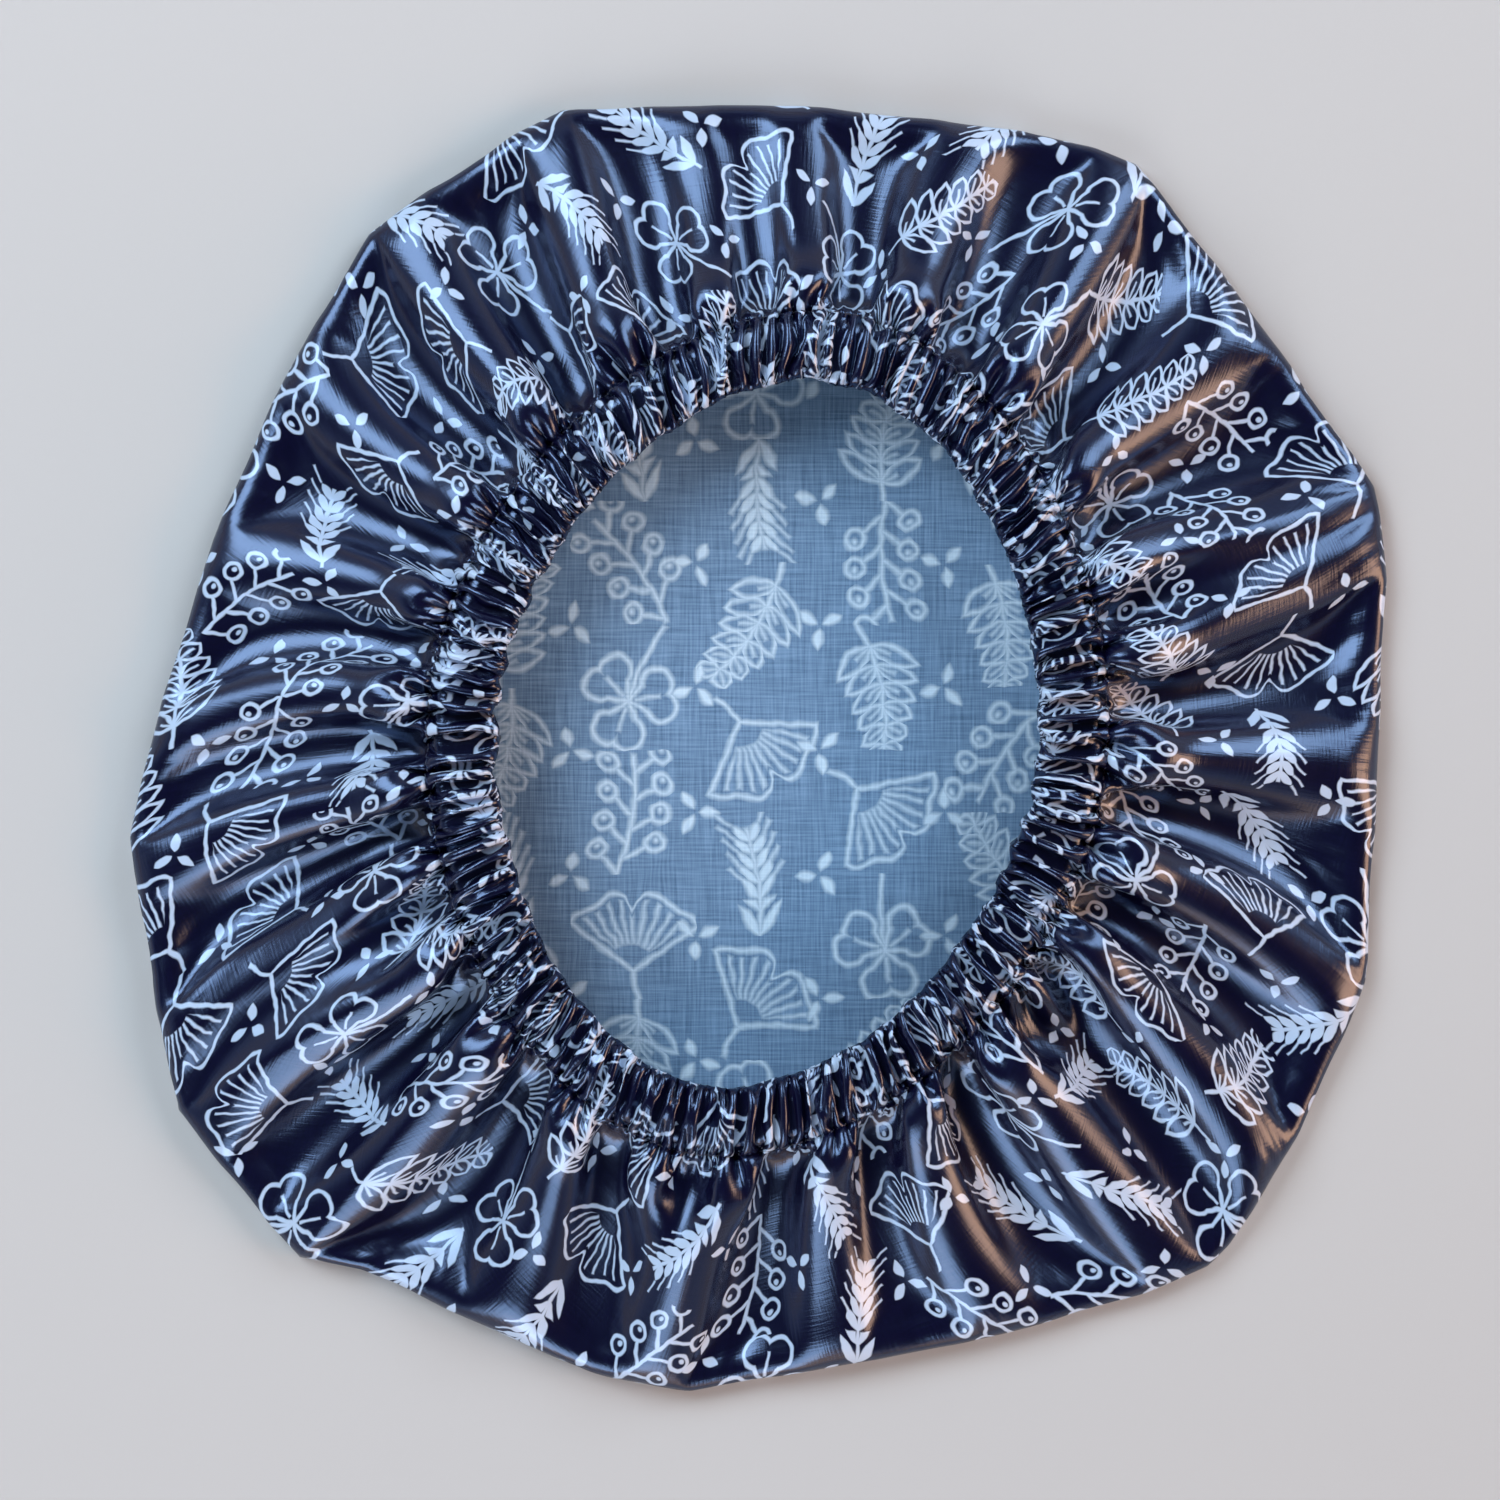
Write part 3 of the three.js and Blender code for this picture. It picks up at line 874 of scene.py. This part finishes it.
def grain(x, y):
    x = x + y * y * 0.009
    along, across, number = beside_stem(x, y, math.radians(38), 3.0, -5, 5)
    kernel = blade(along, across, number * -0.3 + 6, 2.0)
    awn = stroke(across, along, 5, 9, 0.45)
    low_along, low_across, number = beside_stem(x, y, math.radians(32), 5, -13, 2)
    leaf = blade(low_along, low_across, number + 8, 2.2).most(y + 5)
    return kernel.least(awn).least(leaf).least(stroke(x, y, -14, 10))


def berries(x, y):
    x = x + y * y * 0.01
    staggered = y + x.math("LESS_THAN", 0) * 3.1
    along, across, _ = beside_stem(x, staggered, math.radians(52), 6.2, -10, 4)
    ring = outlined(length_of(along - 7.2, across) - 1.9)
    shine = length_of(along - 7.7, across - 0.4) - 0.55
    return ring.least(shine).least(stroke(across, along, 0, 5.3, 0.8)).least(stroke(x, y, -14, 12))


def fan(x, y):
    up = y + 7
    radius = length_of(x, up)
    angle = x.math("ARCTAN2", up)
    edge = (angle * 11).math("COSINE") * -0.5 + 16 + (angle * angle * -120).math("EXPONENT") * -3
    shape = (radius - edge).most((abs(angle) - 0.95) * radius)
    ray = angle / 0.19
    vein = abs(ray - round(ray)) * radius * 0.19 - 0.28
    vein = vein.most(shape + 1.6).most(radius * -1 + 5.5)
    return outlined(shape).least(vein).least(stroke(x - up * up * 0.03, y, -14, -7))


def trefoil(x, y):
    along, across = in_thirds(x, y - 3)
    lobe = length_of(abs(across) - 2.3, along - 6.6) - 3.2
    cone = (abs(across) * 0.75 - along * 0.62).most(along - 5.6)
    rib = stroke(across, along, 1.5, 6.6, 0.6)
    return outlined(lobe.least(cone)).least(rib).least(stroke(x + y * y * 0.012, y, -14, 2))


def seeds(x, y):
    along, across = in_thirds(x, y)
    return blade(along - 0.8, across, along * 0 + 4.2, 2.1)


def cells(tree, x, y):
    """Half-drop repeat: the place in the nearest cell, and three random numbers for that cell."""
    column = round(x / REPEAT)
    drop = (column / 2).math("FRACT") * REPEAT
    row = round((y + drop) / REPEAT)
    where = tree.nodes.new("ShaderNodeCombineXYZ")
    tree.links.new(column.socket, where.inputs[0])
    tree.links.new(row.socket, where.inputs[1])
    noise = tree.nodes.new("ShaderNodeTexWhiteNoise")
    noise.noise_dimensions = "2D"
    tree.links.new(where.outputs[0], noise.inputs["Vector"])
    split = tree.nodes.new("ShaderNodeSeparateColor")
    tree.links.new(noise.outputs["Color"], split.inputs[0])
    draws = [Formula(tree, socket) for socket in split.outputs]
    return x - column * REPEAT, y + drop - row * REPEAT, draws


def print_group():
    """Node group that says how far a place on the flat cut is from white ink, in the print's units."""
    tree = bpy.data.node_groups.new("leaf_print", "ShaderNodeTree")
    tree.interface.new_socket("Flat", in_out="INPUT", socket_type="NodeSocketVector")
    tree.interface.new_socket("Distance", in_out="OUTPUT", socket_type="NodeSocketFloat")
    entry = tree.nodes.new("NodeGroupInput")
    wobble = tree.nodes.new("ShaderNodeTexNoise")
    wobble.inputs["Scale"].default_value = WOBBLES_TO_A_METRE
    wobble.inputs["Detail"].default_value = 1
    tree.links.new(entry.outputs["Flat"], wobble.inputs["Vector"])
    shake = tree.nodes.new("ShaderNodeSeparateColor")
    tree.links.new(wobble.outputs["Color"], shake.inputs[0])
    split = tree.nodes.new("ShaderNodeSeparateXYZ")
    tree.links.new(entry.outputs["Flat"], split.inputs[0])
    flat = (Formula(tree, split.outputs[k]) / (MOTIF_SCALE * MM) for k in (0, 1))
    x, y = (place + (Formula(tree, shake.outputs[k]) - 0.5) * WOBBLE for k, place in enumerate(flat))
    near_x, near_y, (lean, kind, flip) = cells(tree, x, y)
    angle = (lean - 0.5) * MOTIF_LEAN + flip.math("GREATER_THAN", 0.5) * math.pi
    motif_x, motif_y = turned(near_x, near_y, angle)
    motifs = (fern, grain, berries, fan, trefoil)
    number = (kind * len(motifs)).math("FLOOR")
    small_x, small_y, (lean, _, _) = cells(tree, x - REPEAT / 2, y)
    ink = seeds(*turned(small_x, small_y, lean * FULL_TURN))
    for index, motif in enumerate(motifs):
        ink = ink.least(motif(motif_x, motif_y) + abs(number - index).least(1) * FAR_OFF)
    leave = tree.nodes.new("NodeGroupOutput")
    tree.links.new(ink.socket, leave.inputs["Distance"])
    return tree


class Material:
    """A Principled material with short ways to add nodes."""

    def __init__(self, name):
        self.made = bpy.data.materials.new(name)
        self.made.use_nodes = True
        self.tree = self.made.node_tree
        self.shader = self.tree.nodes["Principled BSDF"]

    def node(self, kind, settings=None, **inputs):
        node = self.tree.nodes.new(kind)
        for name, value in (settings or {}).items():
            setattr(node, name, value)
        for name, value in inputs.items():
            self.feed(node.inputs[name], value)
        return node

    def feed(self, slot, value):
        if isinstance(value, Formula):
            value = value.socket
        if isinstance(value, bpy.types.NodeSocket):
            self.tree.links.new(value, slot)
        else:
            slot.default_value = value

    def formula(self, socket):
        return Formula(self.tree, socket)

    def mixed(self, share, first, second):
        """One colour going over into another."""
        mix = self.tree.nodes.new("ShaderNodeMix")
        mix.data_type = "RGBA"
        self.feed(mix.inputs["Factor"], share)
        for slot, colour in (("A", first), ("B", second)):
            self.feed(next(s for s in mix.inputs if s.name == slot and s.type == "RGBA"), colour)
        return next(s for s in mix.outputs if s.type == "RGBA")

    def flat_cut(self):
        return self.node("ShaderNodeAttribute", {"attribute_name": "flat_cut"}).outputs["Vector"]

    def noise(self, place, stretch, detail=2):
        """Noise at a place in metres, with that many grains to a metre along each axis."""
        scaled = self.node("ShaderNodeVectorMath", {"operation": "MULTIPLY"})
        self.feed(scaled.inputs[0], place)
        scaled.inputs[1].default_value = stretch
        noise = self.node("ShaderNodeTexNoise", Vector=scaled.outputs[0], Scale=1, Detail=detail)
        return self.formula(noise.outputs["Fac"])

    def ink(self, group, place, edge):
        """Share of white ink, with an edge that many of the print's units soft."""
        distance = self.node("ShaderNodeGroup", {"node_tree": group}, Flat=place).outputs["Distance"]
        return (self.formula(distance) * (-1 / edge) + 0.5).between(0, 1)

    def bump(self, height, depth):
        bump = self.node("ShaderNodeBump", Height=height, Distance=depth, Strength=1)
        self.feed(self.shader.inputs["Normal"], bump.outputs["Normal"])


def film_material(group):
    """The printed side: navy cotton with white ink under a clear glossy film."""
    film = Material("printed_film")
    place = film.flat_cut()
    ink = film.ink(group, place, edge=0.3)
    warp = film.noise(place, (1700, 110, 1))
    weft = film.noise(place, (110, 1700, 1))
    weave = warp + weft
    shade = (weave - 1) * 0.9 + 0.5
    navy = film.mixed(shade.between(0, 1), *NAVY)
    film.feed(film.shader.inputs["Base Color"], film.mixed(ink, navy, INK))
    haze = film.noise(place, (60, 60, 60), detail=3)
    film.feed(film.shader.inputs["Roughness"], haze * 0.12 + 0.17)
    film.shader.inputs["IOR"].default_value = 1.8
    film.shader.inputs["Specular Tint"].default_value = FILM_TINT
    film.bump(weave, depth=0.045 * MM)
    return film.made


def weave_material(group):
    """The other side: plain cotton, through which the navy and the print show pale."""
    weave = Material("cotton_weave")
    place = weave.flat_cut()
    ink = weave.ink(group, place, edge=1.1)
    warp = weave.noise(place, (1900, 70, 1), detail=3)
    weft = weave.noise(place, (70, 1900, 1), detail=3)
    threads = ((warp + weft - 1) * 1.6 + 0.5).between(0, 1)
    blue = weave.mixed(threads, *BLUE_COTTON)
    pale = weave.mixed(threads, *PALE_COTTON)
    weave.feed(weave.shader.inputs["Base Color"], weave.mixed(ink, blue, pale))
    weave.shader.inputs["Roughness"].default_value = 0.92
    weave.shader.inputs["Specular IOR Level"].default_value = 0.2
    weave.bump(threads, depth=0.08 * MM)
    return weave.made


def thread_material():
    thread = Material("navy_thread")
    thread.shader.inputs["Base Color"].default_value = NAVY_THREAD
    thread.shader.inputs["Roughness"].default_value = 0.55
    thread.shader.inputs["Sheen Weight"].default_value = 0.2
    return thread.made


def elastic_material():
    elastic = Material("white_elastic")
    place = elastic.node("ShaderNodeTexCoord").outputs["Object"]
    ribs = elastic.noise(place, (1400, 1400, 200))
    elastic.feed(elastic.shader.inputs["Base Color"], elastic.mixed(ribs, *WHITE_ELASTIC))
    elastic.shader.inputs["Roughness"].default_value = 0.85
    elastic.bump(ribs, depth=0.1 * MM)
    return elastic.made


def floor_material():
    """Pale floor that also looks pale where the lights don't reach it, and lights nothing there."""
    floor = Material("pale_floor")
    floor.shader.inputs["Base Color"].default_value = FLOOR_GREY
    floor.shader.inputs["Roughness"].default_value = 1
    floor.shader.inputs["Specular IOR Level"].default_value = 0
    distance = floor.node("ShaderNodeVectorMath", {"operation": "LENGTH"})
    floor.feed(distance.inputs[0], floor.node("ShaderNodeTexCoord").outputs["Object"])
    far = (floor.formula(distance.outputs["Value"]) - FLOOR_LIT) / FLOOR_CHANGE
    floor.shader.inputs["Emission Color"].default_value = FLOOR_GREY
    rays = floor.node("ShaderNodeLightPath").outputs
    seen = floor.formula(rays["Is Camera Ray"])
    for kind in ("Is Glossy Ray", "Is Transmission Ray"):
        seen = seen.most(floor.formula(rays[kind]))
    floor.feed(floor.shader.inputs["Emission Strength"], far.between(0, 1) * seen)
    return floor.made


def copied_node(name, node):
    """A piece with the shape of a solid in the frame."""
    mesh = frame["nodes"][node].data.copy()
    mesh.materials.clear()
    return finish_mesh(name, mesh)


def dress(piece, node, body, slot, anchor_height, *materials):
    """Puts a piece in a solid's place, on that solid's body. It flattens as the rim is pressed."""
    for material in materials:
        piece.data.materials.append(material)
    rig.ride(piece, body)
    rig.replaces(piece, node)
    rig.slot(piece, slot)
    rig.squash(piece, PRESS["name"], axis=(0, 0, 1), anchor=(0, 0, anchor_height), keep=PRESSED_SHARE)


def area_of(flat):
    """Flat area of a ring of cloth between its first and last rows."""

    def within(line):
        x, y = line.T
        return abs(np.sum(x * np.roll(y, -1) - y * np.roll(x, -1))) / 2

    return within(flat[-1]) - within(flat[0])


def add_light(name, place, size, energy, colour):
    """A square soft light that faces the cap."""
    light = bpy.data.lights.new(name, "AREA")
    light.size = size
    light.energy = energy
    light.color = colour
    lamp = bpy.data.objects.new(name, light)
    lamp.location = place
    lamp.visible_camera = False
    lamp.rotation_euler = (-lamp.location).to_track_quat("-Z", "Y").to_euler()
    bpy.context.scene.collection.objects.link(lamp)


def add_floor():
    mesh = bpy.data.meshes.new("floor")
    corners = [(x * FLOOR_REACH, y * FLOOR_REACH, 0) for x, y in ((-1, -1), (1, -1), (1, 1), (-1, 1))]
    mesh.from_pydata(corners, [], [(0, 1, 2, 3)])
    mesh.materials.append(floor_material())
    floor = bpy.data.objects.new("floor", mesh)
    floor.location.z = FLOOR_LEVEL
    bpy.context.scene.collection.objects.link(floor)
    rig.stage(floor)


def add_room():
    """Warm and pale at the horizon, bluish above it and dark overhead."""
    world = bpy.data.worlds.new("room")
    world.use_nodes = True
    tree = world.node_tree
    height = tree.nodes.new("ShaderNodeSeparateXYZ")
    tree.links.new(tree.nodes.new("ShaderNodeTexCoord").outputs["Generated"], height.inputs[0])
    ramp = tree.nodes.new("ShaderNodeValToRGB")
    stops = ramp.color_ramp.elements
    for stop, (sine, colour) in zip(stops, (ROOM_LOW, ROOM_HIGH)):
        stop.position = sine
        stop.color = colour
    sine, colour = ROOM_MIDDLE
    stops.new(sine).color = colour
    tree.links.new(height.outputs["Z"], ramp.inputs["Fac"])
    tree.links.new(ramp.outputs["Color"], tree.nodes["Background"].inputs["Color"])
    bpy.context.scene.world = world


def add_camera():
    camera = bpy.data.objects.new("camera", bpy.data.cameras.new("camera"))
    camera.location = CAMERA_PLACE
    camera.data.sensor_width = SENSOR_WIDTH
    camera.data.lens = SENSOR_WIDTH * PICTURE_DISTANCE / PICTURE_WIDTH
    bpy.context.scene.collection.objects.link(camera)
    bpy.context.scene.camera = camera


layout = Layout()
skirt_points, skirt_flat, skirt_apart = layout.skirt()
casing_points, casing_flat, casing_apart = layout.casing()
crown_points, crown_flat = crown_rows(skirt_points[0], skirt_flat[0])
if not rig.quick():
    skirt_points = relaxed_skirt(skirt_points, skirt_flat, skirt_apart)
    casing_points = relaxed_casing(casing_points, casing_flat, casing_apart)
casing_points, casing_flat = twice_as_fine(casing_points), twice_as_fine(casing_flat)

group = print_group()
film, weave, thread = film_material(group), weave_material(group), thread_material()

crown_place = two_discs(crown_flat)
skirt_place = unrolled(len(skirt_points), COLUMNS, strips=3, shares=(0.68, 0.31))
casing_place = unrolled(len(casing_points), 2 * COLUMNS, strips=8, shares=(0.99,))
crown = cloth_piece("crown_cloth", crown_points, crown_flat, crown_place, layers=2, middle=True)
skirt = cloth_piece("skirt_cloth", skirt_points, skirt_flat, skirt_place, layers=2)
casing = cloth_piece("casing_cloth", casing_points, casing_flat, casing_place, layers=1)
dress(crown, "crown_panel", "crown", "laminated_cotton", 0, film, weave)
dress(skirt, "gathered_skirt", "crown", "laminated_cotton", 0, film, weave)
dress(casing, "casing_hem", "rim", "laminated_cotton", MOUTH_HEIGHT, film)

casing_out = grid_normals(casing_points)
needle = thread_ring("needle_stitches", casing_points[0], casing_out[0])
bobbin = thread_ring("bobbin_stitches", casing_points[-1], casing_out[-1])
dress(needle, "casing_needle_thread", "rim", "thread", MOUTH_HEIGHT, thread)
dress(bobbin, "casing_bobbin_thread", "rim", "thread", MOUTH_HEIGHT, thread)
elastic = copied_node("elastic_loop", "elastic_band")
join = copied_node("elastic_join_zigzag", "elastic_join_stitching")
dress(elastic, "elastic_band", "rim", "elastic", MOUTH_HEIGHT, elastic_material())
dress(join, "elastic_join_stitching", "rim", "thread", MOUTH_HEIGHT, thread)

whole_crown = np.concatenate([crown_flat[:1] * 0, crown_flat])
crown_size = tuple(np.ptp(crown_flat.reshape(-1, 2), axis=0))
skirt_size = tuple(np.ptp(skirt_flat.reshape(-1, 2), axis=0))
casing_size = (2 * CASING_SLACK * CASING_WIDTH, running_length(casing_flat[-1])[-1])
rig.sheet(crown, crown_size, "laid", ["floor"], area_of(whole_crown))
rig.sheet(skirt, skirt_size, "gathered", ["crown_cloth"], area_of(skirt_flat))
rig.sheet(casing, casing_size, "gathered", ["elastic_loop"], area_of(casing_flat))

add_floor()
for light in LIGHTS:
    add_light(*light)
add_room()
add_camera()
bpy.context.scene.view_settings.view_transform = "Standard"

with open("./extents.json", "w") as file:
    json.dump({"cad": [list(corner) for corner in cad_box],
               "visual": [list(corner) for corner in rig.bounds()]}, file)
